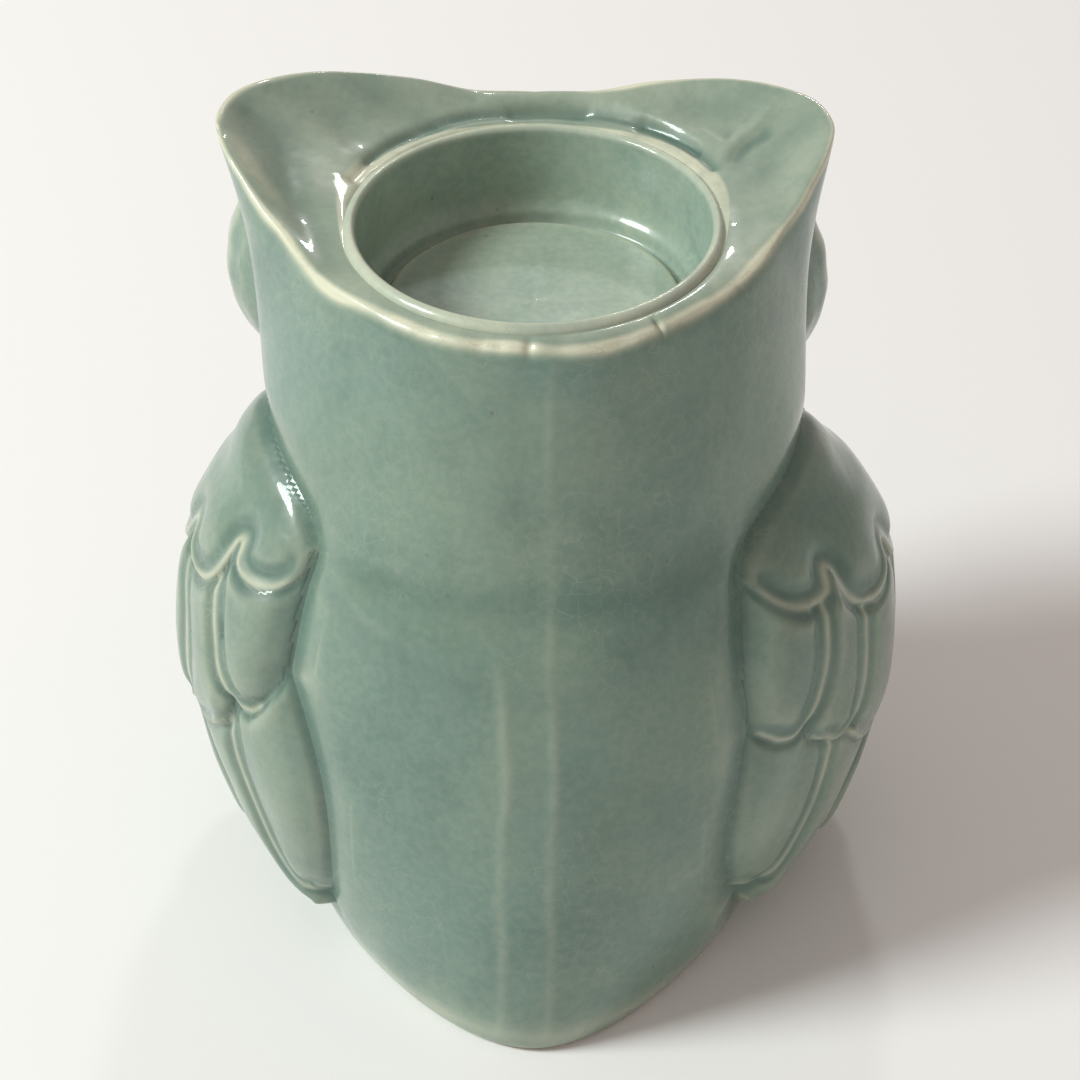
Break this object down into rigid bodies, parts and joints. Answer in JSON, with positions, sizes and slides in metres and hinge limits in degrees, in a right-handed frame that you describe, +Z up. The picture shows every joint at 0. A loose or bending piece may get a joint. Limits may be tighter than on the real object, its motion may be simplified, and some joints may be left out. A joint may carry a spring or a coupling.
{
  "type": "owl tealight holder",
  "caption": "Glazed ceramic owl figurine with a round well in the top of its head that holds a tealight candle; scalloped wings, pointed ear tufts and tail.",
  "frame": {"origin": "on the table, at the middle of the footprint's box", "axes": "+Z up; -Y the way the owl faces, +Y its tail; +X completes a right-handed frame"},
  "size_m": [0.0947, 0.0836, 0.1022],
  "materials": {
    "celadon_glaze": "glossy crackled celadon glaze, cream where it breaks over edges, darker teal where it pools",
    "cup_glaze": "glossy celadon glaze, pooled darker round the cup's floor",
    "bisque": "unglazed fired clay, matt and slightly gritty"
  },
  "bodies": {
    "root": {"shell_left": "celadon_glaze", "shell_right": "celadon_glaze", "wing_shoulder_left": "celadon_glaze", "wing_shoulder_right": "celadon_glaze", "wing_secondaries_left": "celadon_glaze", "wing_secondaries_right": "celadon_glaze", "wing_primaries_left": "celadon_glaze", "wing_primaries_right": "celadon_glaze", "foot_left": "celadon_glaze", "foot_right": "celadon_glaze", "facial_disc_left": "celadon_glaze", "facial_disc_right": "celadon_glaze", "eye_left": "celadon_glaze", "eye_right": "celadon_glaze", "beak": "celadon_glaze", "candle_cup": "cup_glaze", "cup_floor": "cup_glaze", "base_plate": "bisque"}
  },
  "joints": []
}
